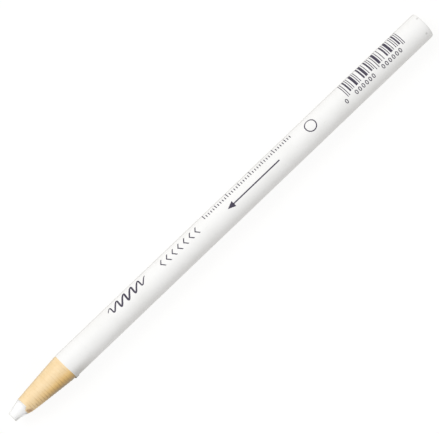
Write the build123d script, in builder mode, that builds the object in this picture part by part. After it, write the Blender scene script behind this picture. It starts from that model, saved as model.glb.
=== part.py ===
"""A peel-off china marker: a wax core in wound paper, a pull string and a printed wrapper.

The marker lies along X with its tip at -X and rests on the plane z = 0. Stations are measured
along the marker from the tip, radii from its axis. The pull string lies on the -Y side.
"""

import os
from math import cos, degrees, radians, sin

from build123d import *

# Driving dimensions, in millimetres
length = 178.0
core_diameter = 5.6
tip_diameter = 3.3
tip_rounding = 0.25
nose_hollow = 0.09
bare_wax = 5.1

paper_turns = 17
turn_thickness = 0.1
first_step = 0.75
last_step = 1.35
band_pitch = 8.0
shortest_tail = 10.0

wrapper_thickness = 0.16
notch_width = 0.25
notch_span = 1.6

string_diameter = 0.45
string_bend_radius = 0.6
string_bend_degrees = 50.0
string_stub = 0.4
string_lead = 0.45
string_swing_degrees = 135.0

# Clearances, in millimetres
core_clearance = 0.02
slit_clearance = 0.25
wrapper_clearance = 0.02
tear_clearance = 0.08
string_clearance = 0.05

# Sizes that follow from them
core_radius = core_diameter / 2
tip_radius = tip_diameter / 2
bore_radius = core_radius + core_clearance
roll_radius = bore_radius + paper_turns * turn_thickness
wrapper_bore = roll_radius + wrapper_clearance
barrel_radius = wrapper_bore + wrapper_thickness
cone_length = paper_turns * (first_step + last_step) / 2
wrapper_start = bare_wax + cone_length
band_count = int((length - shortest_tail - wrapper_start) / band_pitch)

string_radius = string_diameter / 2
string_height = roll_radius - string_radius
groove_width = string_diameter + 2 * string_clearance
groove_floor = string_height - string_radius - string_clearance
groove_degrees = degrees(groove_width / string_height)
past_barrel = barrel_radius + string_diameter
pivot_station = wrapper_start + band_pitch

# The marker's axis, and the plane through it in which stations and radii are drawn
tip_x = -length / 2
marker_axis = Axis((tip_x, 0, barrel_radius), (1, 0, 0))
side = Plane(origin=(tip_x, 0, barrel_radius), x_dir=(1, 0, 0), z_dir=(0, -1, 0))

os.makedirs("parts", exist_ok=True)


def band_front(number):
    """Station of a band's front edge on the core."""
    return bare_wax + (number - 1) * band_pitch


def step_length(turn):
    """Each turn of paper ends a little further behind the one below it."""
    return first_step + (last_step - first_step) * turn / (paper_turns - 1)


def stepped_edge(start):
    """Stations and radii of the paper's stepped front edge, one step for each turn."""
    points = []
    station = start
    for turn in range(paper_turns):
        radius = bore_radius + turn * turn_thickness
        points.append((station, radius))
        points.append((station, radius + turn_thickness))
        station += step_length(turn)
    return points


def cut_edge(start):
    """Stations and radii of a slit that still lies inside the roll, drawn as a plain cone."""
    return [(start, bore_radius), (start + cone_length, roll_radius)]


# String groove: the space that the string takes up in the roll, cut out of each piece it crosses
with BuildPart() as string_groove:
    with BuildSketch(side.rotated((90 - groove_degrees / 2, 0, 0))):
        with Locations((length / 2, (groove_floor + past_barrel) / 2)):
            Rectangle(length, past_barrel - groove_floor)
    revolve(axis=marker_axis, revolution_arc=groove_degrees)


# Wax core: a straight stick whose nose narrows in a hollow curve to a blunt, round-edged tip
with BuildPart() as wax_core:
    with BuildSketch(side):
        with BuildLine():
            nose_middle = (bare_wax / 2, (tip_radius + core_radius) / 2 - nose_hollow)
            nose = ThreePointArc((0, tip_radius), nose_middle, (bare_wax, core_radius))
            Polyline(nose @ 1, (length, core_radius), (length, 0), (0, 0), nose @ 0)
        make_face()
    revolve(axis=marker_axis)
    tip_edge = wax_core.edges().filter_by(GeomType.CIRCLE).sort_by(Axis.X)[0]
    fillet(tip_edge, tip_rounding)
wax_core.part.label = "wax_core"
export_step(wax_core.part, "parts/wax_core.step")


# Peel bands: the paper roll is slit into nested bands. The first two show their stepped edges,
# one now and one when the first band is off, and the slit between them follows the steps.
for number in range(1, band_count + 1):
    name = f"peel_band_{number:02d}"
    start = band_front(number)
    next_start = band_front(number + 1)
    front = stepped_edge(start) if number <= 2 else cut_edge(start)
    with BuildPart() as peel_band:
        with BuildSketch(side):
            with BuildLine():
                front_line = Polyline(*front)
                if number == 1:
                    steps = stepped_edge(next_start - slit_clearance)
                    middle_corner = steps[2 * (paper_turns // 2) + 1]
                    rear = ThreePointArc(steps[-1], middle_corner, steps[1])
                    Line(front_line @ 1, rear @ 0)
                    Polyline(rear @ 1, steps[0], front_line @ 0)
                else:
                    inner, outer = cut_edge(next_start - slit_clearance)
                    Polyline(front_line @ 1, outer, inner, front_line @ 0)
            make_face()
        revolve(axis=marker_axis)
        add(string_groove.part, mode=Mode.SUBTRACT)
    peel_band.part.label = name
    export_step(peel_band.part, f"parts/{name}.step")


# Tail roll: the paper behind the last slit, cut flush with the core
with BuildPart() as tail_roll:
    with BuildSketch(side):
        with BuildLine():
            slit = Polyline(*cut_edge(band_front(band_count + 1)))
            Polyline(slit @ 1, (length, roll_radius), (length, bore_radius), slit @ 0)
        make_face()
    revolve(axis=marker_axis)
    add(string_groove.part, mode=Mode.SUBTRACT)
tail_roll.part.label = "tail_roll"
export_step(tail_roll.part, "parts/tail_roll.step")


# Wrapper front strip: slit lengthwise by the string, it comes off with the first band
with BuildPart() as wrapper_front_strip:
    with BuildSketch(Plane.YZ.offset(tip_x + wrapper_start)):
        with Locations((0, barrel_radius)):
            Circle(barrel_radius)
            Circle(wrapper_bore, mode=Mode.SUBTRACT)
    extrude(amount=band_pitch - tear_clearance)
    add(string_groove.part, mode=Mode.SUBTRACT)
wrapper_front_strip.part.label = "wrapper_front_strip"
export_step(wrapper_front_strip.part, "parts/wrapper_front_strip.step")


# Outer wrapper: one tube, with a notch across the string at the end of each band. The first
# notch, in the front edge, is long enough for the string to be pulled back through it.
swing_back = radians(180 - string_swing_degrees)
string_depth = barrel_radius - string_height
exit_notch = string_depth * cos(swing_back) / sin(swing_back) + string_radius / sin(swing_back)
exit_notch_length = exit_notch + string_clearance
notch_places = []
for number in range(2, band_count + 1):
    notch_station = wrapper_start + number * band_pitch
    notch_places.append((tip_x + notch_station, -barrel_radius, barrel_radius))

with BuildPart() as outer_wrapper:
    with BuildSketch(Plane.YZ.offset(tip_x + pivot_station)):
        with Locations((0, barrel_radius)):
            Circle(barrel_radius)
            Circle(wrapper_bore, mode=Mode.SUBTRACT)
    extrude(amount=length - pivot_station)
    with Locations((tip_x + pivot_station, -barrel_radius, barrel_radius)):
        Box(2 * exit_notch_length, 2 * string_depth, groove_width, mode=Mode.SUBTRACT)
    with Locations(*notch_places):
        Box(notch_width, 2 * string_depth, notch_span, mode=Mode.SUBTRACT)
outer_wrapper.part.label = "outer_wrapper"
export_step(outer_wrapper.part, "parts/outer_wrapper.step")


# Pull string: the thread in its groove under the wrapper, cut flush with the tail. It starts
# far enough behind the pivot for the loose end to swing back over it.
swing_room = (string_radius * (1 + cos(swing_back)) + string_clearance) / sin(swing_back)
thread_start = pivot_station + swing_room
with BuildPart() as pull_string:
    with BuildSketch(Plane.YZ.offset(tip_x + thread_start)):
        with Locations((-string_height, barrel_radius)):
            Circle(string_radius)
    extrude(amount=length - thread_start)
pull_string.part.label = "pull_string"
export_step(pull_string.part, "parts/pull_string.step")


# String end: the loose end in the slit of the front strip, turned up past the wrapper's edge.
# Its round back end is centred on the pivot about which it swings out.
string_plane = Plane(origin=(tip_x, 0, barrel_radius), x_dir=(1, 0, 0), z_dir=(0, 0, 1))
bend_station = wrapper_start + string_lead
bend_angle = radians(string_bend_degrees)
stub_x = string_stub * cos(bend_angle)
stub_y = string_stub * sin(bend_angle)
with BuildPart() as string_end:
    with BuildLine(string_plane) as thread_path:
        run = Line((pivot_station, -string_height), (bend_station, -string_height))
        bend = TangentArc(
            run @ 1,
            (
                bend_station - string_bend_radius * sin(bend_angle),
                -string_height - string_bend_radius * (1 - cos(bend_angle)),
            ),
            tangent=run % 1,
        )
        Line(bend @ 1, (bend @ 1) + Vector(-stub_x, -stub_y, 0))
    with BuildSketch(Plane(origin=thread_path.line @ 0, z_dir=thread_path.line % 0)):
        Circle(string_radius)
    sweep()
    with Locations(thread_path.line @ 0):
        Sphere(string_radius)
string_end.part.label = "string_end"
export_step(string_end.part, "parts/string_end.step")

print(f"{band_count} peel bands, barrel {2 * barrel_radius:.2f} mm across, wrapper from {wrapper_start:.2f} mm")
print(f"string pivot at x {tip_x + pivot_station:.3f}, y {-string_height:.3f}, z {barrel_radius:.3f} mm")
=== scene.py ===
# %% [markdown]
# # A peel-off china marker
# A china marker is a stick of soft wax inside a roll of kraft paper, with a printed white
# wrapper outside and a pull string under it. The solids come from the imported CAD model. This
# lesson dresses them: each piece that shows is modelled again with the detail of the real
# one, in the same place, and each finish is built from nodes.

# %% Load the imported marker
from math import cos, degrees, pi, radians, sin, tau

import bpy
from mathutils import Matrix, Vector, noise


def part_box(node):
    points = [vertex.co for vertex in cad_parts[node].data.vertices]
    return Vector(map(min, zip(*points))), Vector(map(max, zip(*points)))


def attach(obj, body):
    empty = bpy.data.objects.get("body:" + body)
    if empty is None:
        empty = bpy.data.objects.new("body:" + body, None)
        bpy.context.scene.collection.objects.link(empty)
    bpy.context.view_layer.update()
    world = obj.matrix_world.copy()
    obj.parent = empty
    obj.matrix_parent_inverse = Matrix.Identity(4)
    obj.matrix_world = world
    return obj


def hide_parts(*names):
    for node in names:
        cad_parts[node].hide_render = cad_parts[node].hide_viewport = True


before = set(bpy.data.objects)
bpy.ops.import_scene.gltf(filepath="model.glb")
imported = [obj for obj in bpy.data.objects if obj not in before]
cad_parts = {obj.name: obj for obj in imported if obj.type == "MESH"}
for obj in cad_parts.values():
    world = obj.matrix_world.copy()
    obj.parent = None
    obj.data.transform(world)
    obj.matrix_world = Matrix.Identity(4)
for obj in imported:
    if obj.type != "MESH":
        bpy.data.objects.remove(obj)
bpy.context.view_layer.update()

# %% [markdown]
# ## Where things are
# The marker lies along X with its tip at the low end. It is easiest to think in the terms of
# a lathe: a station, in millimetres from the tip, a radius, in millimetres from the axis, and
# an angle, in degrees from the top towards the side where the string lies. One function turns
# these into a point of the scene, so the rest of the lesson can be read in real sizes.

# %% Stations, radii and angles
MM = 0.001
tip_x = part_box("wax_core")[0][0]
wrapper_low, wrapper_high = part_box("outer_wrapper")
axis_z = (wrapper_low[2] + wrapper_high[2]) / 2
length = (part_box("wax_core")[1][0] - tip_x) / MM
front_edge = 22.52
tear_line = (wrapper_low[0] - tip_x) / MM


def at(station, radius, angle):
    """A point of the marker in scene coordinates."""
    turn = radians(angle)
    aside, above = radius * sin(turn), radius * cos(turn)
    return Vector((tip_x + station * MM, -aside * MM, axis_z + above * MM))


def ease(value, start, end):
    """0 before start, 1 after end, with a soft rise between."""
    part = min(max((value - start) / (end - start), 0.0), 1.0)
    return part * part * (3 - 2 * part)


string_angle = 90.0
print(f"marker {length:.1f} mm long, front strip from {front_edge:.2f} to {tear_line:.2f} mm")

# %% [markdown]
# ## The studio
# The photograph is a catalogue picture: white ground, soft light from the upper left, and a
# camera far above the tip, so the rings of the paper look straight at the tip and bulge a
# little towards the tail. A long lens keeps the marker the same width from end to end. A weak
# lamp on the other side keeps the shade open. The floor is a plain diffuse white. To the camera
# it also glows a little, which keeps the ground white without more light on the marker, and the
# shadow stays in the part that doesn't glow.

# %% Floor and world


def deselect_all():
    """Leave nothing selected, because an operator acts on all that is."""
    bpy.ops.object.select_all(action="DESELECT")


bpy.context.scene.view_settings.view_transform = "Standard"
deselect_all()
bpy.ops.mesh.primitive_plane_add(size=6.0)
floor = bpy.context.object
floor.name = "floor"


def seen_directly(tree):
    """1 for rays from the camera, and for those that gloss and glass send on."""
    path = tree.nodes.new("ShaderNodeLightPath")
    seen = tree.nodes.new("ShaderNodeMath")
    seen.operation = "MAXIMUM"
    tree.links.new(path.outputs["Is Camera Ray"], seen.inputs[0])
    tree.links.new(path.outputs["Is Glossy Ray"], seen.inputs[1])
    any_seen = tree.nodes.new("ShaderNodeMath")
    any_seen.operation = "MAXIMUM"
    tree.links.new(seen.outputs[0], any_seen.inputs[0])
    tree.links.new(path.outputs["Is Transmission Ray"], any_seen.inputs[1])
    return any_seen.outputs[0]


floor_white = (0.62, 0.60, 0.57)
floor_glow = 0.80
glow_level = 1.12
ground = bpy.data.materials.new("studio_ground")
ground.use_nodes = True
tree = ground.node_tree
tree.nodes.clear()
matte = tree.nodes.new("ShaderNodeBsdfDiffuse")
matte.inputs["Color"].default_value = (*floor_white, 1)
glow = tree.nodes.new("ShaderNodeEmission")
glow.inputs["Strength"].default_value = glow_level
share = tree.nodes.new("ShaderNodeMath")
share.operation = "MULTIPLY"
share.inputs[1].default_value = floor_glow
tree.links.new(seen_directly(tree), share.inputs[0])
blend = tree.nodes.new("ShaderNodeMixShader")
tree.links.new(share.outputs[0], blend.inputs[0])
tree.links.new(matte.outputs[0], blend.inputs[1])
tree.links.new(glow.outputs[0], blend.inputs[2])
surface = tree.nodes.new("ShaderNodeOutputMaterial")
tree.links.new(blend.outputs[0], surface.inputs["Surface"])
floor.data.materials.append(ground)

sky_level = 0.65
world = bpy.data.worlds.new("studio")
bpy.context.scene.world = world
world.use_nodes = True
tree = world.node_tree
sky = tree.nodes["Background"]
sky.inputs["Color"].default_value = (1, 1, 1, 1)
level = tree.nodes.new("ShaderNodeMapRange")
tree.links.new(seen_directly(tree), level.inputs["Value"])
level.inputs["To Min"].default_value = sky_level
level.inputs["To Max"].default_value = 1.0
tree.links.new(level.outputs[0], sky.inputs["Strength"])
print("floor and world are in place")

# %% Lamps and camera
marker_middle = Vector((0, 0, axis_z))


def softbox(name, place, width, height, watts):
    """A square-edged lamp turned to face the marker."""
    bpy.ops.object.light_add(type="AREA", location=place)
    lamp = bpy.context.object
    lamp.name = name
    lamp.data.shape = "RECTANGLE"
    lamp.data.size = width
    lamp.data.size_y = height
    lamp.data.energy = watts
    facing = marker_middle - Vector(place)
    lamp.rotation_euler = facing.to_track_quat("-Z", "Y").to_euler()


softbox("key_softbox", (-1.40, 2.44, 2.96), width=2.40, height=1.60, watts=79.6)
softbox("fill_softbox", (-0.60, -0.55, 0.20), width=0.60, height=0.30, watts=0.27)

picture_lean = 43.856
camera_height = 0.85
long_lens = 224.84
picture_middle = Vector((0.00042, 0.00053, axis_z))
stand = Vector((tip_x, 0, axis_z + camera_height))
forward = (picture_middle - stand).normalized()
upward = Vector((sin(radians(picture_lean)), cos(radians(picture_lean)), 0))
right = forward.cross(upward).normalized()
upward = right.cross(forward)
bpy.ops.object.camera_add(location=stand)
camera = bpy.context.object
camera.name = "camera"
camera.rotation_euler = Matrix((right, upward, -forward)).transposed().to_euler()
camera.data.lens = long_lens
camera.data.clip_start = 0.01
bpy.context.scene.camera = camera
print(f"camera {stand.z:.2f} m up, lens {long_lens:.0f} mm")

# %% [markdown]
# ## A way to write shader maths
# A finish is a small net of nodes. Wiring each Math node by hand hides what is meant, so one
# class wraps a socket and lets sums be written as sums: every + or * adds its node. Any other
# node comes from one method, which sets the node's own settings first and its sockets after.

# %% The shader helpers


class Wire:
    """A socket that can be used in sums."""

    def __init__(self, finish, socket):
        self.finish = finish
        self.socket = socket

    def math(self, operation, first, second):
        return self.finish.node("ShaderNodeMath", {"operation": operation}, {0: first, 1: second})

    def __add__(self, other):
        return self.math("ADD", self, other)

    def __radd__(self, other):
        return self.math("ADD", other, self)

    def __sub__(self, other):
        return self.math("SUBTRACT", self, other)

    def __rsub__(self, other):
        return self.math("SUBTRACT", other, self)

    def __mul__(self, other):
        return self.math("MULTIPLY", self, other)

    def __rmul__(self, other):
        return self.math("MULTIPLY", other, self)

    def between(self, start, end):
        """0 below start, 1 above end."""
        return self.finish.node("ShaderNodeMapRange", {"interpolation_type": "SMOOTHSTEP"},
                                {"Value": self, "From Min": start, "From Max": end})


class Finish:
    """A material with one shader, whose nodes are added by what they do."""

    def __init__(self, name, **constants):
        self.material = bpy.data.materials.new(name)
        self.material.use_nodes = True
        self.tree = self.material.node_tree
        self.shader = self.tree.nodes["Principled BSDF"]
        for socket, value in constants.items():
            self.shader.inputs[socket.replace("_", " ")].default_value = value

    def node(self, kind, settings=None, sockets=None, output=0):
        """Add a node and return one of its outputs."""
        made = self.tree.nodes.new(kind)
        for name, value in (settings or {}).items():
            if name == "stops":
                ramp = made.color_ramp.elements
                while len(ramp) < len(value):
                    ramp.new(1.0)
                for stop, (place, shade) in zip(ramp, value):
                    stop.position = place
                    stop.color = (*shade, 1)
            else:
                setattr(made, name, value)
        for name, value in (sockets or {}).items():
            if isinstance(value, Wire):
                self.tree.links.new(value.socket, made.inputs[name])
            else:
                made.inputs[name].default_value = value
        return Wire(self, made.outputs[output])

    def place(self, scale=(1, 1, 1), shift=(0, 0, 0)):
        """The point on the piece, in metres, stretched by a scale and then shifted."""
        here = self.node("ShaderNodeTexCoord", output="Object")
        return self.node("ShaderNodeMapping", None,
                         {"Vector": here, "Scale": scale, "Location": shift})

    def speckle(self, where, scale, detail=3.0, roughness=0.55):
        """Cloudy noise from 0 to 1."""
        return self.node("ShaderNodeTexNoise", None,
                         {"Vector": where, "Scale": scale,
                          "Detail": detail, "Roughness": roughness})

    def station(self):
        """How far a point is behind the tip, in millimetres."""
        along_axis = self.node("ShaderNodeSeparateXYZ", None, {0: self.place()}, output="X")
        return (along_axis - tip_x) * (1 / MM)

    def string_side(self):
        """1 where the piece is turned to the string, -1 on the side away from it."""
        outward = self.node("ShaderNodeVectorMath", {"operation": "NORMALIZE"},
                            {0: self.place((0, 1, 1), (0, 0, -axis_z))})
        return 0 - self.node("ShaderNodeSeparateXYZ", None, {0: outward}, output="Y")

    def away_from(self, point, scale=(1, 1, 1)):
        """The distance to a point, in millimetres."""
        return self.node("ShaderNodeVectorMath", {"operation": "DISTANCE"},
                         {0: self.place(scale), 1: point}, output="Value") * (1 / MM)

    def tint(self, share, first, second, way="MIX"):
        """Two colours mixed by a share."""
        first, second = ((*c, 1) if isinstance(c, tuple) else c for c in (first, second))
        return self.node("ShaderNodeMix", {"data_type": "RGBA", "blend_type": way},
                         {0: share, 6: first, 7: second}, output=2)

    def relief(self, height, depth, strength=1.0):
        """A bump of a height from 0 to 1 and a depth in metres."""
        self.feed("Normal", self.node("ShaderNodeBump", None,
                                      {"Height": height, "Distance": depth, "Strength": strength}))

    def feed(self, socket, wire):
        """Link a wire to the shader."""
        self.tree.links.new(wire.socket, self.shader.inputs[socket])


print("shader helpers ready")

# %% [markdown]
# ## Finish: wax
# The core is a soft white wax, filled with pigment, with the faint greasy sheen of a candle.
# Light goes a little way in, so a small amount of subsurface is set. The surface has cloudy
# patches where it was handled and fine marks round the nose from peeling, which are noise
# stretched round the stick. A patch of painted shade at the foot of the paper's front edge,
# where the bare wax ends, is set by the distance to its middle, and the same noise makes its
# outline ragged. The rim of the tip, the far edge of the bare wax and the string side near the
# tip are painted a little grey as shade.

# %% Make the wax
wax_white, wax_cloudy = (0.965, 0.965, 0.953), (0.945, 0.945, 0.932)
scratch_grey = (0.78, 0.77, 0.745)
foot_shade_grey = (0.31, 0.29, 0.25)
wax_far_edge_grey = (0.80, 0.80, 0.79)
rim_grey = (0.68, 0.68, 0.665)
tip_string_side_grey = (0.56, 0.56, 0.545)
foot_shade_spot = at(4.45, 2.45, 71.0)

wax = Finish("white_wax", Subsurface_Weight=0.7, Subsurface_Scale=0.0022)
wax.shader.inputs["Subsurface Radius"].default_value = (1.0, 1.0, 0.97)
behind_tip, string_side = wax.station(), wax.string_side()
clouds = wax.speckle(wax.place(), 420.0, 4.0)
marks = wax.speckle(wax.place((3.0, 0.6, 0.6)), 2600.0, 3.0)
grains = wax.speckle(wax.place(), 9000.0, 2.0)
wax_shade = wax.tint(clouds.between(0.35, 0.75), wax_white, wax_cloudy)
wax_shade = wax.tint(marks.between(0.58, 0.74) * 0.2, wax_shade, scratch_grey)

bare = 1 - behind_tip.between(4.6, 5.2)
# Painted shade: a dark ragged patch on the wax at the foot of the paper's front edge, on the
# string side.
ragged_away = wax.away_from(foot_shade_spot) + 0.8 * clouds + 0.9 * marks - 0.8
stain_and_shade = (1 - ragged_away.between(0.1, 1.2)) * bare * 0.95
wax_shade = wax.tint(stain_and_shade, wax_shade, foot_shade_grey)
# Painted shade: the far edge of the bare wax, away from the string, is made a little grey.
far_edge_shade = (0 - string_side).between(0.84, 0.96) * bare
wax_shade = wax.tint(far_edge_shade, wax_shade, wax_far_edge_grey, "MULTIPLY")
# Painted shade: the rim of the tip is made grey, more so on the string side.
tip_rim_shade = (1 - behind_tip.between(0.1, 0.5)) * (0.72 + 0.28 * string_side.between(0.2, 0.9))
wax_shade = wax.tint(tip_rim_shade, wax_shade, rim_grey, "MULTIPLY")
# Painted shade: the string side near the tip is made patchily grey.
patchy = clouds.between(0.2, 0.6) * (0.35 + 0.9 * marks)
string_side_darkening = (1 - behind_tip.between(0.4, 3.0)) * string_side.between(0.6, 0.99) * patchy
wax_shade = wax.tint(string_side_darkening, wax_shade, tip_string_side_grey, "MULTIPLY")
wax.feed("Base Color", wax_shade)
wax.feed("Roughness", 0.34 + 0.25 * clouds)
wax.relief(0.7 * marks + 0.3 * grains, 0.00003, 0.5)
print("wax ready")

# %% [markdown]
# ## Finish: kraft paper
# The roll is brown kraft paper, which is pale tan in the light. It is wound round the stick,
# so its fibres run round it and the noise is stretched that way. Each turn ends in a cut edge.
# The pieces carry an attribute that goes from 0 at the front of a turn to 1 at the foot of the
# next one, where the finish paints a thin dark line of shade in the gap between the two plies,
# stronger on the string side. The string side is painted browner, greyer and darker as shade,
# and the far edge, away from the string, a little darker. How far a point is turned to the
# string side is the sideways part of its direction from the axis. Two dark brown spots lie at
# the corner where the winding starts, and paper fresh from inside the roll has neither these
# spots nor the painted shade on the string side and the far edge.

# %% Make the kraft paper
pale_tan, deep_tan = (0.90, 0.69, 0.398), (0.86, 0.64, 0.344)
pale_fibre, dark_fleck = (0.92, 0.74, 0.48), (0.56, 0.36, 0.16)
gap_shade_brown = (0.40, 0.235, 0.085)
shade_brown, shade_grey = (1.0, 0.84, 0.45), (0.60, 0.58, 0.55)
lower_edge_shade_brown, far_edge_shade_grey = (0.26, 0.235, 0.18), (0.77, 0.77, 0.78)
spot_brown = (0.36, 0.17, 0.07)
dark_spots = [(at(4.85, 2.72, 38.0), 0.6, 0.8), (at(5.4, 2.9, 55.0), 1.45, 0.95)]


def painted_shade(paper, shade, string_side, wear_and_shade_noise):
    """Painted shade: browner, greyer and darker towards the string side, darker at the far edge.
    """
    handling_and_shade = paper.station().between(4.0, 17.0)
    brown_shade_mask = string_side.between(0.0, 0.68) * handling_and_shade
    grey_shade_mask = string_side.between(0.42, 0.90) * handling_and_shade
    lower_edge_shade_mask = string_side.between(0.76, 0.985) * handling_and_shade * handling_and_shade * (0.15 + wear_and_shade_noise)
    # Painted shade: the far edge, away from the string, is made a little darker.
    far_edge_shade = (0 - string_side).between(0.88, 0.985)
    # Painted shade: browner, greyer and darker towards the string side, darkest at its edge.
    shade = paper.tint(brown_shade_mask, shade, shade_brown, "MULTIPLY")
    shade = paper.tint(grey_shade_mask, shade, shade_grey, "MULTIPLY")
    shade = paper.tint(lower_edge_shade_mask, shade, lower_edge_shade_brown)
    return paper.tint(far_edge_shade, shade, far_edge_shade_grey, "MULTIPLY")


def kraft(name, with_shade_and_spots):
    """Kraft paper, fresh from inside the roll, or with painted shade and two dark spots."""
    paper = Finish(name)
    paper.shader.inputs["Specular IOR Level"].default_value = 1.0
    fibre = paper.speckle(paper.place((1.0, 0.22, 0.22)), 5200.0, 4.0, 0.6)
    cloud = paper.speckle(paper.place(), 520.0, 3.0)
    fleck = paper.speckle(paper.place((1.0, 0.3, 0.3)), 3400.0, 1.0)
    edge = paper.node("ShaderNodeAttribute", {"attribute_name": "edge"}, output="Fac")
    wear_and_shade_noise = paper.speckle(paper.place((1.0, 0.4, 0.4)), 900.0, 3.0)
    string_side = paper.string_side()
    toward_shade = string_side.between(-0.12, 0.95)
    shade = paper.tint(cloud.between(0.3, 0.7), pale_tan, deep_tan)
    shade = paper.tint(fibre.between(0.45, 0.75) * 0.3, shade, pale_fibre)
    # Painted shade on the string side and along the far edge.
    if with_shade_and_spots:
        shade = painted_shade(paper, shade, string_side, wear_and_shade_noise)
    shade = paper.tint(fleck.between(0.64, 0.76) * 0.22, shade, dark_fleck)
    # Painted shade: a thin dark line in the gap at the foot of each turn, stronger on the string
    # side.
    gap = edge.between(0.5, 1.0) * wear_and_shade_noise.between(0.25, 0.7) * (0.12 + 0.78 * toward_shade)
    shade = paper.tint(gap, shade, gap_shade_brown)
    # Two dark brown spots at the corner where the winding starts.
    for spot, reach, strength in dark_spots if with_shade_and_spots else []:
        near_spot = 1 - paper.away_from(spot).between(0.1, reach)
        spotted = near_spot * strength * (0.52 + 0.6 * fibre)
        shade = paper.tint(spotted, shade, spot_brown)
    paper.feed("Base Color", shade)
    paper.feed("Roughness", 0.46 + 0.2 * fibre)
    paper.relief(fibre, 0.00003, 0.6)
    return paper


shaded_kraft = kraft("kraft_paper_shaded", True)
fresh_kraft = kraft("kraft_paper_fresh", False)
print("kraft paper ready")

# %% [markdown]
# ## Finish: wrapper paper
# The wrapper is a white coated paper. It is smooth, with a soft shine, and shows faint fibre
# and handling marks. Two small grey dents at the tail are left by whatever gripped the marker
# when it was made, and a thin grey line of painted shade lies along the glued lap, on the side
# away from the string. Both are painted by distance: the dents from a point, the shade from a
# line along the marker. Near the front, on the string side, the paper is a darker grey.

# %% Make the wrapper paper
wrapper_radius = 4.69
lap_angle = 288.0
lap_line = at(0.0, wrapper_radius, lap_angle - 2.0)
tail_dents = [at(177.3, wrapper_radius, -35.5), at(176.2, wrapper_radius, 35.3)]
clean_white, handled_white = (0.925, 0.922, 0.912), (0.895, 0.892, 0.878)
stain_grey, lap_shade_grey, dent_grey = (0.62, 0.60, 0.56), (0.43, 0.42, 0.41), (0.36, 0.35, 0.33)
front_string_side_grey = (0.75, 0.74, 0.72)

wrap_paper = Finish("wrapper_paper")
wrap_paper.shader.inputs["Specular IOR Level"].default_value = 0.22
weave = wrap_paper.speckle(wrap_paper.place((0.35, 1.0, 1.0)), 6500.0, 4.0, 0.6)
handling_and_shade = wrap_paper.speckle(wrap_paper.place(), 160.0, 4.0)
stain_and_shade = wrap_paper.speckle(wrap_paper.place((0.5, 1.0, 1.0)), 900.0, 3.0)
white = wrap_paper.tint(handling_and_shade.between(0.4, 0.75), clean_white, handled_white)
white = wrap_paper.tint(stain_and_shade.between(0.66, 0.8) * 0.16, white, stain_grey)
# Painted shade: a thin grey line along the lap, at the barrel's edge away from the string.
from_lap = wrap_paper.away_from((0, lap_line.y, lap_line.z), (0, 1, 1))
lap_edge_shade = (1 - from_lap.between(0.08, 0.5)) * (0.40 + 0.25 * handling_and_shade)
white = wrap_paper.tint(lap_edge_shade, white, lap_shade_grey)
for dent in tail_dents:
    touched = (1 - wrap_paper.away_from(dent).between(0.1, 0.62)) * (0.15 + 0.5 * stain_and_shade)
    white = wrap_paper.tint(touched, white, dent_grey)
# Darker grey on the string side near the front.
near_front = 1 - wrap_paper.station().between(22.5, 34.5)
string_side_darkening = wrap_paper.string_side().between(0.3, 0.95) * near_front * (0.75 + 0.5 * handling_and_shade)
white = wrap_paper.tint(string_side_darkening, white, front_string_side_grey, "MULTIPLY")
wrap_paper.feed("Base Color", white)
wrap_paper.feed("Roughness", 0.42 + 0.2 * weave)
wrap_paper.relief(weave, 0.000012, 0.5)
print("wrapper paper ready")

# %% [markdown]
# ## Finishes: ink and thread
# The print is one dark ink with a violet cast, a little thin in places. The string is a
# three-ply cotton thread, off-white, with fibres that follow the plies. Its loose end is painted
# grey as shade.

# %% Make the ink and the thread
full_ink, thin_ink = (0.030, 0.022, 0.050), (0.15, 0.14, 0.18)
ink = Finish("dark_ink")
thin = ink.speckle(ink.place(), 3000.0, 3.0)
ink.feed("Base Color", ink.tint(thin.between(0.5, 0.8) * 0.5, full_ink, thin_ink))
ink.feed("Roughness", 0.38 + 0.2 * thin)
ink.relief(thin, 0.000004, 0.3)

yarn_shade, yarn_light = (0.62, 0.60, 0.55), (0.86, 0.845, 0.80)
lint_grey = (0.46, 0.43, 0.38)
loose_end_shade_grey = (0.50, 0.49, 0.47)
cotton = Finish("cotton_thread")
strand = cotton.speckle(cotton.place((0.3, 1.0, 1.0)), 14000.0, 3.0, 0.65)
lint = cotton.speckle(cotton.place(), 2200.0, 2.0)
yarn = cotton.tint(strand.between(0.3, 0.75), yarn_shade, yarn_light)
yarn = cotton.tint(lint.between(0.6, 0.8) * 0.4, yarn, lint_grey)
# Painted shade: the loose end of the thread is made grey.
loose_end_shade = 1 - cotton.station().between(23.2, 25.0)
cotton.feed("Base Color", cotton.tint(loose_end_shade, yarn, loose_end_shade_grey, "MULTIPLY"))
cotton.feed("Roughness", 0.7 + 0.2 * lint)
cotton.relief(strand, 0.00002, 0.8)
print("ink and thread ready")

# %% [markdown]
# ## Turning a piece
# Most of the marker is round, so most pieces start as an outline that is drawn point by point
# beside the axis, as on paper, and then spun round it. The spin keeps the order of the
# points, so every vertex still knows its place on the outline and its column round the axis.
# A wound paper isn't quite round, and a last step may move each vertex by those two numbers.

# %% The turning helpers
weld_gap = 0.002 * MM
smooth_angle = 38.0


def select_only(piece):
    deselect_all()
    piece.select_set(True)
    bpy.context.view_layer.objects.active = piece


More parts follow.
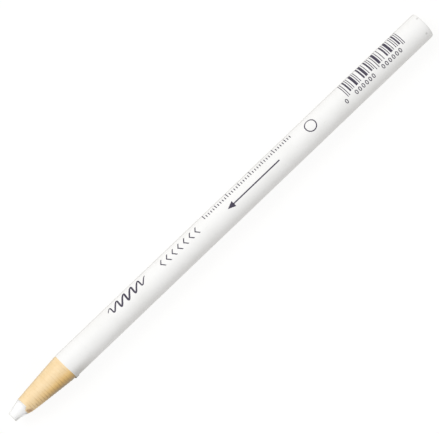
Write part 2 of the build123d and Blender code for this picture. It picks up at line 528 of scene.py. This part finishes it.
def turned(name, outline, columns, first_angle=0.0, closed=True):
    """Draw an outline of stations and radii and spin it a full turn round the axis."""
    points = [at(station, radius, first_angle) for station, radius in outline]
    deselect_all()
    bpy.ops.mesh.primitive_plane_add(size=MM)
    piece = bpy.context.object
    piece.name = piece.data.name = name
    bpy.ops.object.mode_set(mode="EDIT")
    bpy.ops.mesh.select_all(action="SELECT")
    bpy.ops.mesh.merge(type="CENTER")
    bpy.ops.transform.translate(value=points[0])
    for here, there in zip(points, points[1:]):
        bpy.ops.mesh.extrude_vertices_move(TRANSFORM_OT_translate={"value": there - here})
    bpy.ops.object.mode_set(mode="OBJECT")

    drawn = piece.data.vertices
    place = [min(range(len(points)), key=lambda k: (points[k] - v.co).length) for v in drawn]
    if closed:
        for vertex, rank in zip(drawn, place):
            vertex.select = rank in (0, len(points) - 1)
        bpy.ops.object.mode_set(mode="EDIT")
        bpy.ops.mesh.edge_face_add()
        bpy.ops.object.mode_set(mode="OBJECT")
    bpy.ops.object.mode_set(mode="EDIT")
    bpy.ops.mesh.select_all(action="SELECT")
    bpy.ops.mesh.spin(steps=columns, angle=-tau, use_auto_merge=False,
                      center=(0, 0, axis_z), axis=(1, 0, 0))
    bpy.ops.object.mode_set(mode="OBJECT")
    return piece, place


def shape(piece, place, columns, moved, first_angle=0.0):
    """Set every vertex from its column's share of a turn and its place on the outline."""
    rows = {}
    for vertex in piece.data.vertices:
        column, drawn = divmod(vertex.index, len(place))
        if column not in rows:
            rows[column] = moved(column / columns)
        station, radius = rows[column][place[drawn]][:2]
        vertex.co = at(station, radius, first_angle + 360.0 * column / columns)


def mark_edges(piece, place, values):
    """Store the attribute by which the kraft paper knows where a turn ends."""
    edge = piece.data.attributes.new("edge", "FLOAT", "POINT")
    for vertex in piece.data.vertices:
        edge.data[vertex.index].value = values[place[vertex.index % len(place)]]


def close_up(piece, smooth=smooth_angle):
    """Weld the seam, fill what is open and point the faces outwards."""
    select_only(piece)
    bpy.ops.object.mode_set(mode="EDIT")
    bpy.ops.mesh.select_all(action="SELECT")
    bpy.ops.mesh.remove_doubles(threshold=weld_gap)
    bpy.ops.mesh.dissolve_degenerate(threshold=weld_gap / 4)
    bpy.ops.mesh.select_all(action="SELECT")
    bpy.ops.mesh.fill_holes(sides=0)
    bpy.ops.mesh.select_all(action="SELECT")
    bpy.ops.mesh.normals_make_consistent(inside=False)
    bpy.ops.object.mode_set(mode="OBJECT")
    bpy.ops.object.shade_smooth_by_angle(angle=radians(smooth))


def fit(piece, finish, body, slot, *nodes):
    """Give a finished piece its material, its body and the nodes that it stands for."""
    piece.data.materials.clear()
    piece.data.materials.append(finish.material)
    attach(piece, body)
    if nodes:
        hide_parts(*nodes)
    print(f"{piece.name}: {len(piece.data.polygons)} faces on {body}")


print("turning helpers ready")

# %% [markdown]
# ## The wax stick
# The nose narrows to a blunt tip. On the upper side it is nearly straight, and on the string
# side it has been worn hollow. The two sides get their own outline, and each ring of the nose
# is a circle through both, which shifts it away from the worn side. Behind the nose it is a
# plain stick, and its tail end is cut flat with a faint dish.

# %% Model the wax stick
stick_radius = 2.795
worn_angle = string_angle + 5.0
straight_side = [(0.0, 1.53), (0.5, 1.64), (1.24, 1.86), (2.5, 2.25),
                 (3.4, 2.48), (4.35, 2.69), (5.4, stick_radius)]
hollow_side = [(0.0, 1.66), (1.24, 1.72), (2.5, 1.94),
               (3.4, 2.20), (4.35, 2.48), (5.9, stick_radius)]


def along(points, station):
    """The radius at a station, on straight lines between points."""
    for (x0, r0), (x1, r1) in zip(points, points[1:]):
        if station <= x1:
            return r0 + (r1 - r0) * max(station - x0, 0.0) / (x1 - x0)
    return points[-1][1]


def wax_radius(station, angle):
    """The radius of the shifted circle at an angle."""
    near, far = along(hollow_side, station), along(straight_side, station)
    shift = (far - near) / 2
    turn = radians(angle - worn_angle)
    return (((near + far) / 2) ** 2 - (shift * sin(turn)) ** 2) ** 0.5 - shift * cos(turn)


ring_step = 0.2
nose_rings = [ring_step * k for k in range(1, 30)]
body_rings = [6.4, 20.0, 60.0, 120.0]
tip_rings = [(0.03, 0.0), (0.02, 0.25), (0.015, 0.55), (0.0, 0.80), (0.02, 0.91), (0.08, 0.975)]
tail_rings = [(length - 0.05, 1.0), (length, 0.985), (length, 0.9),
              (length - 0.04, 0.5), (length - 0.05, 0.0)]


def stick_outline(share):
    """Tip face, nose, body and tail, for one column."""
    angle = 360.0 * share
    face = [(station, part * wax_radius(ring_step, angle)) for station, part in tip_rings]
    nose = []
    for station in nose_rings:
        here = at(station, 2.0, angle) / MM
        wear_and_shade_noise = 0.012 * noise.noise(here * 1.3) + 0.006 * noise.noise(here * 4.0)
        nose.append((station, wax_radius(station, angle) + wear_and_shade_noise * ease(6.2 - station, 0, 0.8)))
    body = [(station, stick_radius) for station in body_rings]
    tail = [(station, part * stick_radius) for station, part in tail_rings]
    return face + nose + body + tail


stick_columns = 120
wax_stick, place = turned("wax_stick", stick_outline(0.0), stick_columns, closed=False)
shape(wax_stick, place, stick_columns, stick_outline)
close_up(wax_stick, 50.0)
fit(wax_stick, wax, "marker", "wax", "wax_core")

# %% [markdown]
# ## The wound paper
# The front of the roll is one long strip wound 17 times, each turn a little further back than
# the one below, so its edge climbs the cone as a spiral. A lathe gives closed rings. To make
# the spiral, each column's outline is drawn at its own share of a turn: after a full turn the
# first step has moved to where the second one was, and the seam welds shut. Just before the
# paper's starting edge all turns climb by one ply, as they do on a real roll.

# %% One outline of the wound paper
turns = 17
ply = 0.1
bore = 2.82
roll_radius = bore + turns * ply
band_pitch = 8.0
slit_gap = 0.25
start_angle = 13.0
roll_columns = 240
groove_floor = 4.02
groove_half_angle = 3.75
paper_front = 4.27
first_step, longer_steps = 0.94, 0.005
corner_slant, corner_turn = 0.85, 0.055
slow_waver, fine_waver = 0.07, 0.018
edge_rounding, ply_sag = 0.03, 0.012


def front_station(turn):
    """How far back the paper's edge is after a number of turns. Its first corner is slanting."""
    corner = corner_slant * (1 - ease(turn, 0.0, corner_turn))
    set_back = 0.19 * ease(turn, 0.35, 0.75) * ease(6.0 - turn, 0.0, 5.0)
    set_back += 0.08 * ease(turn, 0.0, 1.0)
    return paper_front + first_step * turn + longer_steps * turn * turn + set_back + corner


def climb(share):
    """Turns lie a ply higher just before the starting edge."""
    return ply * ease(share, 0.86, 1.0)


def ply_radius(turn, share):
    """The outside of a turn."""
    return min(bore + ply * (turn + 1) + climb(share), roll_radius)


def ragged(turn, angle):
    """The small waver of a cut paper edge, in millimetres."""
    around = Vector((cos(radians(angle)), sin(radians(angle)), 0.0))
    slow = noise.noise(around * 1.6 + Vector((0, 0, 0.9 * turn)))
    fine = noise.noise(around * 14.0 + Vector((0, 0, 3.1 * turn)))
    return slow_waver * slow + fine_waver * fine


def wound_front(share, back, seat):
    """Stations, radii and edge values of the stepped front, for one column."""
    angle = start_angle + 360.0 * share
    points = []
    for turn in range(turns):
        count = turn + share
        station = front_station(count) + back
        station += ragged(count, angle) * ease(count, 0.0, 0.6)
        top = ply_radius(turn, share)
        foot = ply_radius(turn - 1, share) if turn else bore
        following = front_station(count + 1) + back
        middle = station + 0.55 * (following - station)
        around = (cos(radians(angle)), sin(radians(angle)))
        swell = ply_sag * noise.noise(Vector((count * 0.7, *around)))
        lap = [(station, foot, 1.0)]
        if turn == 0:
            lap.append((station, bore + climb(share), 0.6))
        lap += [(station, top - edge_rounding, 0.25), (station + edge_rounding, top, 0.0),
                (middle, top - ply_sag + swell, 0.5)]
        points += [(x, seat(x, r, angle), e) for x, r, e in lap]
    return points


def rolled_paper(name, outline):
    """Turn a piece of the roll, give each column its own outline and close it."""
    base = outline(0.0)
    piece, place = turned(name, [p[:2] for p in base], roll_columns, start_angle)
    shape(piece, place, roll_columns, outline, start_angle)
    mark_edges(piece, place, [p[2] for p in base])
    close_up(piece)
    return piece


print(f"cone from {front_station(0):.2f} to {front_station(turns):.2f} mm")

# %% [markdown]
# ## The front band
# This is the ring of paper that is free to come off next. Its front is the stepped cone of the
# photograph. At the very front the first turns are pressed down on the wax, so the bore
# follows the nose. Its back is cut along the same spiral as the next band's front, with a slit
# between them, and a groove takes the string where it lies under the wrapper.

# %% Model the front band
groove_start = front_edge + 0.2


def on_the_wax(station, radius, angle):
    """Press the first turns down to where the wax is thinner than the bore."""
    drop = max(0.0, stick_radius - wax_radius(station, angle))
    return radius - drop * ease(radius, 3.3, 2.9)


def in_the_groove(station, radius, angle, start):
    """Leave room for the string."""
    if station > start and abs(angle - string_angle) < groove_half_angle:
        return min(radius, groove_floor)
    return radius


def front_band_outline(share):
    angle = start_angle + 360.0 * share
    points = wound_front(share, 0.0, on_the_wax)
    outside_rings = (groove_start - 0.04, groove_start + 0.04, 25.5)
    outside = [(x, roll_radius, 0.5) for x in outside_rings]
    back = []
    for turn in reversed(range(turns)):
        slit = front_station(turn + share) + band_pitch - slit_gap
        back.append((slit, ply_radius(turn, share), 0.3))
    foot = [(x, bore, 0.3) for x in (back[-1][0], 11.5, 7.0, 6.0)]
    outline = points + outside + back + foot
    return [(x, in_the_groove(x, r, angle, groove_start), e) for x, r, e in outline]


front_band = rolled_paper("front_band_paper", front_band_outline)
fit(front_band, shaded_kraft, "front_band", "kraft_paper", "peel_band_01")

# %% [markdown]
# ## The second band
# When the front band comes off, the next cone appears behind it, cut the same way. It sits on
# the plain part of the stick, so nothing is pressed in, and the string's groove runs through
# all of its outer turns. Its back stays inside the roll and is a plain slit.

# %% Model the second band
second_groove_start = 20.0


def second_band_outline(share):
    angle = start_angle + 360.0 * share
    points = wound_front(share, band_pitch, lambda x, r, a: r)
    outside = [(x, roll_radius, 0.5) for x in (tear_line, 38.4)]
    foot = [(x, bore, 0.3) for x in (20.6, 17.0, 14.0)]
    outline = points + outside + foot
    return [(x, in_the_groove(x, r, angle, second_groove_start), e) for x, r, e in outline]


second_band = rolled_paper("second_band_paper", second_band_outline)
fit(second_band, fresh_kraft, "marker", "kraft_paper", "peel_band_02")

# %% [markdown]
# ## The tail of the roll
# At the tail the roll is cut square, and the turns show as a fine spiral round the wax. Each
# turn is a shallow rounded ridge, drawn in the outline and shifted by a ply round the turn. The
# outer edge is a little rounded, as the saw and handling leave it.

# %% Model the tail of the roll
tail_start = 149.1
cone_length = 17.85
face_turns = 15
face_station = length - 0.05
face_foot = length - 0.06
face_rim = roll_radius - 0.19
ring_gap = 0.004
ridge = [(0.16, 0.0, 1.0), (0.32, 0.03, 0.1), (0.68, 0.035, 0.0), (0.84, 0.0, 1.0)]


def tail_face(share, angle):
    """The ridges of the turns on the cut face, from the rim to the bore."""
    points = []
    around = (cos(radians(angle)), sin(radians(angle)))
    count = len(ridge) * face_turns
    for number in reversed(range(count)):
        turn, (part, rise, line) = number // len(ridge), ridge[number % len(ridge)]
        radius = bore + ply * (turn + part + 0.5 - share)
        radius = max(radius, bore + ring_gap * (number + 1))
        radius = min(radius, face_rim - ring_gap * (count - number))
        uneven = 0.012 * noise.noise(Vector((radius * 9.0, *around)))
        rounding = 0.12 * ease(radius, face_rim - 0.22, face_rim) ** 2
        points.append((face_station + rise + uneven - rounding, radius, line))
    return points + [(face_foot, bore, 1.0)]


def tail_outline(share):
    """The slit, the outside and the face. No point of the face lies above the one before it."""
    angle = start_angle + 360.0 * share
    outside = [(tail_start, bore), (tail_start + cone_length, roll_radius),
               (length - 1.1, roll_radius), (length - 0.6, roll_radius - 0.05),
               (length - 0.25, roll_radius - 0.14)]
    seated = []
    for station, radius in outside:
        seated.append((station, in_the_groove(station, radius, angle, 0.0), 0.3))
    for station, radius, line in tail_face(share, angle):
        kept = in_the_groove(station, radius, angle, 0.0)
        station = face_foot if kept < radius else station
        seated.append((station, min(kept, seated[-1][1] - ring_gap), line))
    return seated


tail_roll = rolled_paper("tail_roll_paper", tail_outline)
fit(tail_roll, fresh_kraft, "marker", "kraft_paper", "tail_roll")

# %% [markdown]
# ## The bands that stay inside
# The other bands lie under the wrapper, nested in each other, and none of them can be seen or
# moved before the one in front has gone. Their solids are right as they are, so they only get
# the finish.

# %% Finish the inner bands
modelled = ("peel_band_01", "peel_band_02")
bands = [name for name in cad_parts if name.startswith("peel_band_")]
inner_bands = [name for name in bands if name not in modelled]
for name in inner_bands:
    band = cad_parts[name]
    band.data.materials.clear()
    band.data.materials.append(fresh_kraft.material)
print(f"{len(inner_bands)} inner bands in kraft paper")

# %% [markdown]
# ## The wrapper
# The wrapper is one sheet of paper rolled round the marker and glued along a lap. It is made as
# a sheet too: the outer face is turned, the notches over the string are opened by deleting
# faces, and Solidify gives the paper its thickness, so every cut gets a clean edge. The lap is
# a step of a third of a paper thickness on the side away from the string, above the middle.

# %% Model the wrapper
paper_thickness = 0.15
sheet_columns = 240
sheet_first = 0.75
lap_depth, lap_reach = 0.055, 55.0


def lap_step(angle):
    """How far the sheet dips under its own edge at the lap."""
    under = (lap_angle - angle) % 360.0
    return lap_depth * (1 - ease(under, 0.0, lap_reach))


def sheet(name, rings, wave):
    """Turn the outer face of a paper tube."""

    def moved(share):
        angle = sheet_first + 360.0 * share
        return [(x + wave(x, angle), r - lap_step(angle)) for x, r in rings]

    piece, place = turned(name, rings, sheet_columns, sheet_first, closed=False)
    shape(piece, place, sheet_columns, moved, sheet_first)
    return piece


def open_notch(piece, start, end, half_angle):
    """Delete the faces of the sheet over the string between two stations."""
    half_width = wrapper_radius * sin(radians(half_angle))
    bpy.ops.object.mode_set(mode="EDIT")
    bpy.ops.mesh.select_all(action="DESELECT")
    bpy.ops.mesh.select_mode(type="FACE")
    bpy.ops.object.mode_set(mode="OBJECT")
    for face in piece.data.polygons:
        middle = face.center
        station = (middle.x - tip_x) / MM
        aside = abs(middle.z - axis_z) / MM
        face.select = start < station < end and middle.y < 0 and aside < half_width
    bpy.ops.object.mode_set(mode="EDIT")
    bpy.ops.mesh.delete(type="FACE")
    bpy.ops.mesh.select_mode(type="VERT")
    bpy.ops.object.mode_set(mode="OBJECT")


def thicken(piece):
    """Weld the sheet, point it outwards and give it its thickness inwards."""
    bpy.ops.object.mode_set(mode="EDIT")
    bpy.ops.mesh.select_all(action="SELECT")
    bpy.ops.mesh.remove_doubles(threshold=weld_gap)
    bpy.ops.mesh.normals_make_consistent(inside=False)
    bpy.ops.object.mode_set(mode="OBJECT")
    wall = piece.modifiers.new("paper", "SOLIDIFY")
    wall.thickness = paper_thickness * MM
    wall.offset = -1.0
    wall.use_even_offset = True
    bpy.ops.object.modifier_apply(modifier=wall.name)
    bpy.ops.object.shade_smooth_by_angle(angle=radians(smooth_angle))


exit_notch = 0.77
notch_half, notch_half_angle = 0.125, 9.75
notch_stations = [tear_line + band_pitch * number for number in range(1, 18)]
plain_rings = [tear_line, tear_line + exit_notch]
for station in notch_stations:
    plain_rings += [station - notch_half, station + notch_half]
turned_in = [(172.0, 0.0), (175.0, 0.0), (176.2, 0.0), (176.9, 0.006), (177.3, 0.022),
             (177.6, 0.055), (177.8, 0.10), (177.92, 0.15), (177.98, 0.20)]
wrapper_rings = [(station, wrapper_radius) for station in plain_rings]
wrapper_rings += [(station, wrapper_radius - inward) for station, inward in turned_in]

outer_wrapper = sheet("wrapper_sheet", wrapper_rings, lambda x, a: 0.0)
open_notch(outer_wrapper, tear_line, tear_line + exit_notch, groove_half_angle)
for station in notch_stations:
    open_notch(outer_wrapper, station - notch_half, station + notch_half, notch_half_angle)
thicken(outer_wrapper)
fit(outer_wrapper, wrap_paper, "marker", "wrapper_paper", "outer_wrapper")

# %% [markdown]
# ## The front strip of the wrapper
# The strip over the front band is the same sheet. The string lies in its slit and has cut it
# through, so it comes off with the band. Its front edge was cut by hand and lies back a little
# at the string. Its back edge meets the wrapper along the line where the paper tears, and at
# rest nothing shows there.

# %% Model the front strip
edge_waver, edge_slant = 0.03, 0.4


def hand_cut(station, angle):
    """The front edge wavers and lies back at the string. The tear line is straight."""
    around = Vector((cos(radians(angle)), sin(radians(angle)), 0.0))
    set_back = edge_slant * ease(around.y, -0.3, 1.3)
    return (edge_waver * noise.noise(around * 2.2) + set_back) * ease(station, 24.5, 23.0)


plain_rings = [front_edge + 0.05, 23.6, 26.0, 28.5, tear_line - 0.006]
strip_rings = [(front_edge, wrapper_radius - 0.004)]
strip_rings += [(station, wrapper_radius) for station in plain_rings]
front_strip = sheet("front_strip_sheet", strip_rings, hand_cut)
open_notch(front_strip, front_edge - 0.5, tear_line, groove_half_angle)
thicken(front_strip)
fit(front_strip, wrap_paper, "front_band", "wrapper_paper", "wrapper_front_strip")

# %% [markdown]
# ## The pull string
# The string is a thin thread of three plies. Three small circles stand for the plies, and the
# Screw modifier twists them along the thread. The part under the wrapper is straight. The loose
# end runs in the slit of the front strip and rises over its edge, so after the twist its
# vertices are lifted there.

# %% Model the pull string
string_height = 4.295
ply_offset = 0.112
ply_thickness = 0.108
twist_pitch = 1.5


def twisted(name, start, end, steps_a_turn):
    """A straight three-ply thread between two stations, in place under the wrapper."""
    run = end - start
    deselect_all()
    bpy.ops.mesh.primitive_circle_add(vertices=8, radius=ply_thickness * MM,
                                      location=(0, 0, ply_offset * MM), rotation=(0, pi / 2, 0))
    piece = bpy.context.object
    piece.name = piece.data.name = name
    bpy.ops.object.transform_apply(location=True, rotation=True)
    bpy.ops.object.mode_set(mode="EDIT")
    bpy.ops.mesh.select_all(action="SELECT")
    bpy.ops.mesh.spin(steps=3, angle=tau, dupli=True, center=(0, 0, 0), axis=(1, 0, 0))
    bpy.ops.mesh.select_all(action="SELECT")
    bpy.ops.mesh.remove_doubles(threshold=weld_gap)
    bpy.ops.object.mode_set(mode="OBJECT")
    turns_made = run / twist_pitch
    screw = piece.modifiers.new("twist", "SCREW")
    screw.axis = "X"
    screw.angle = tau * turns_made
    screw.screw_offset = run * MM
    screw.steps = screw.render_steps = int(turns_made * steps_a_turn)
    screw.use_merge_vertices = False
    bpy.ops.object.modifier_apply(modifier=screw.name)
    piece.location = at(start, string_height, string_angle)
    bpy.ops.object.transform_apply(location=True)
    close_up(piece, 60.0)
    return piece


thread_start, thread_end = tear_line + 0.62, length - 0.04
pull_thread = twisted("pull_thread", thread_start, thread_end, 10)
fit(pull_thread, cotton, "marker", "thread", "pull_string")

# %% Model the loose end
end_station, hinge_station = 22.46, tear_line + 0.2
flare, flare_start = 0.3, end_station + 0.7
lift, lift_start, lift_end = 0.37, 24.6, 23.7

loose_end = twisted("string_loose_end", end_station, hinge_station, 14)
for vertex in loose_end.data.vertices:
    station = (vertex.co.x - tip_x) / MM
    spread = 1 + flare * ease(station, flare_start, end_station)
    lifted = string_height + lift * ease(station, lift_start, lift_end)
    aside = vertex.co.y / MM + string_height
    vertex.co.z = axis_z + (vertex.co.z - axis_z) * spread
    vertex.co.y = (aside * spread - lifted) * MM
fit(loose_end, cotton, "string_end", "thread", "string_end")

# %% [markdown]
# ## The print
# The print is a thin film of ink on the wrapper. Each mark is made flat, in millimetres along
# the marker and round it, then wrapped on the barrel and given the thickness of a film. All the
# marks are plain signs: bars of no code, a row of zeros, a wavy stroke, arrowheads that show the
# way to peel, a scale in millimetres, a long arrow and a ring for the colour.

# %% The print helpers
film_height = 0.0015
film_thickness = 0.004


def flat_bar(width, height, rows=1, columns=1):
    """A flat bar on the drawing plane, divided so that it can bend."""
    deselect_all()
    bpy.ops.mesh.primitive_grid_add(x_subdivisions=columns, y_subdivisions=rows, size=1.0)
    bar = bpy.context.object
    bar.scale = (width * MM, height * MM, 1.0)
    bpy.ops.object.transform_apply(scale=True)
    return bar


def arc(run):
    """The angle that a length round the wrapper takes up, in degrees."""
    return degrees(run / wrapper_radius)


def set_down(mark, station, angle):
    """Move a flat mark to its place on the unrolled wrapper."""
    mark.location = (station * MM, -radians(angle) * wrapper_radius * MM, 0)
    bpy.ops.object.transform_apply(location=True)


def wrap_on_barrel(mark):
    """Bend the drawing round the barrel and give it the thickness of ink."""
    for vertex in mark.data.vertices:
        vertex.co = at(vertex.co.x / MM, wrapper_radius + film_height, arc(-vertex.co.y / MM))
    select_only(mark)
    bpy.ops.object.mode_set(mode="EDIT")
    bpy.ops.mesh.select_all(action="SELECT")
    bpy.ops.mesh.normals_make_consistent(inside=False)
    bpy.ops.object.mode_set(mode="OBJECT")
    for face in mark.data.polygons:
        outward = Vector((0, face.center.y, face.center.z - axis_z))
        if face.normal.dot(outward) < 0:
            face.flip()
    film = mark.modifiers.new("film", "SOLIDIFY")
    film.thickness = film_thickness * MM
    film.offset = 1.0
    bpy.ops.object.modifier_apply(modifier=film.name)


def print_marks(name, marks):
    """Join flat marks into one piece, wrap it on the barrel and give it the ink."""
    select_only(marks[0])
    for mark in marks:
        mark.select_set(True)
    if len(marks) > 1:
        bpy.ops.object.join()
    printed = bpy.context.object
    printed.name = printed.data.name = name
    wrap_on_barrel(printed)
    fit(printed, ink, "marker", "wrapper_paper")


print("print helpers ready")

# %% Bars of no code
bar_widths = [1, 1, 2, 1, 1, 3, 1, 1, 2, 3, 1, 2, 1, 1, 1, 3, 1, 1, 2, 1, 3, 1, 1, 1, 2, 1, 1]
bar_gaps = [1, 2, 1, 1, 2, 1, 1, 3, 1, 1, 2, 1, 1, 2, 1, 1, 2, 3, 1, 1, 1, 2, 1, 1, 1, 1]
bars_from, bars_to, bars_angle = 144.2, 169.2, -71.5
bar_height, long_bar_height = 5.18, 5.98
long_bars = (0, 1, 13, 14, 25, 26)
trim = 0.22
module = (bars_to - bars_from) / (sum(bar_widths) + sum(bar_gaps))
marks = []
station = bars_from
for number, (wide, gap) in enumerate(zip(bar_widths, bar_gaps + [0])):
    tall = long_bar_height if number in long_bars else bar_height
    bar = flat_bar((wide - trim) * module, tall, 30)
    set_down(bar, station + wide * module / 2, bars_angle + arc(tall / 2))
    marks.append(bar)
    station += (wide + gap) * module
print_marks("bar_print", marks)

# %% A row of zeros
digit_size, digit_spacing, digit_weight = 2.15, 1.38, 0.035
digits_angle = 19.0
marks = []
for text, station in [("0", 142.4), ("000000", 146.7), ("000000", 158.4)]:
    deselect_all()
    bpy.ops.object.text_add(location=(0, 0, 0))
    row = bpy.context.object
    row.data.body = text
    row.data.size = digit_size * MM
    row.data.space_character = digit_spacing
    row.data.offset = digit_weight * MM
    row.data.resolution_u = 6
    bpy.ops.object.convert(target="MESH")
    row = bpy.context.object
    set_down(row, station, digits_angle)
    marks.append(row)
print_marks("digit_print", marks)

# %% A wavy stroke
stroke_from, stroke_to, stroke_angle = 43.4, 59.2, -36.0
stroke_run = stroke_to - stroke_from
wave_height, wave_count, wave_lean = 1.55, 5.25, 0.45
stroke_ends, stroke_swell = 0.22, 0.42


def stroke_middle(share):
    """A point of the stroke's middle line, in millimetres. The waves lean forward."""
    wave = wave_height * (0.6 + 0.4 * sin(pi * share)) * sin(tau * wave_count * share)
    return Vector((stroke_run * (share - 0.5) + wave_lean * wave, wave))


stroke = flat_bar(stroke_run, 1.0, 2, 240)
for vertex in stroke.data.vertices:
    share = vertex.co.x / MM / stroke_run + 0.5
    heading = (stroke_middle(share + 0.002) - stroke_middle(share - 0.002)).normalized()
    fullness = sin(pi * min(max(share, 0.0), 1.0)) ** 0.5
    half_width = vertex.co.y / MM * (stroke_ends + stroke_swell * fullness)
    middle = stroke_middle(share)
    vertex.co.x = (middle.x - heading.y * half_width) * MM
    vertex.co.y = (middle.y + heading.x * half_width) * MM
set_down(stroke, (stroke_from + stroke_to) / 2, stroke_angle)
print_marks("stroke_print", [stroke])

# %% Arrowheads that show the way to peel
heads_from, heads_pitch, heads_angle = 65.6, 2.45, -31.0
heads_width, heads_height, heads_slope = 0.46, 2.7, 0.75
marks = []
for number in range(7):
    head = flat_bar(heads_width, heads_height, 16)
    for vertex in head.data.vertices:
        vertex.co.x += heads_slope * abs(vertex.co.y)
    set_down(head, heads_from + heads_pitch * number, heads_angle)
    marks.append(head)
print_marks("arrow_print", marks)

# %% A scale in millimetres
scale_from, scale_angle = 85.4, -42.0
tick_width, short_tick, middle_tick, long_tick = 0.30, 1.2, 1.8, 2.5
marks = []
for number in range(38):
    tall = long_tick if number % 10 == 0 else middle_tick if number % 5 == 0 else short_tick
    tick = flat_bar(tick_width, tall, 16)
    set_down(tick, scale_from + number, scale_angle - arc(tall / 2))
    marks.append(tick)
print_marks("scale_print", marks)

# %% A long arrow towards the tip
arrow_angle = -6.0
shaft_station, shaft_length, shaft_width = 104.8, 20.0, 0.42
head_station, head_length, head_width = 93.8, 2.6, 2.2
shaft = flat_bar(shaft_length, shaft_width, 4, 1)
set_down(shaft, shaft_station, arrow_angle)
head = flat_bar(head_length, head_width, 14, 8)
for vertex in head.data.vertices:
    vertex.co.y *= vertex.co.x / (head_length * MM) + 0.5
set_down(head, head_station, arrow_angle)
print_marks("long_arrow_print", [shaft, head])

# %% A ring for the colour
ring_station, ring_angle = 129.4, -20.0
ring_radius, ring_line = 2.1, 0.36
deselect_all()
bpy.ops.mesh.primitive_circle_add(vertices=64, radius=ring_radius * MM, fill_type="NGON")
ring = bpy.context.object
bpy.ops.object.mode_set(mode="EDIT")
bpy.ops.mesh.select_all(action="SELECT")
bpy.ops.mesh.inset(thickness=ring_line * MM)
bpy.ops.mesh.delete(type="FACE")
bpy.ops.object.mode_set(mode="OBJECT")
set_down(ring, ring_station, ring_angle)
print_marks("ring_print", [ring])
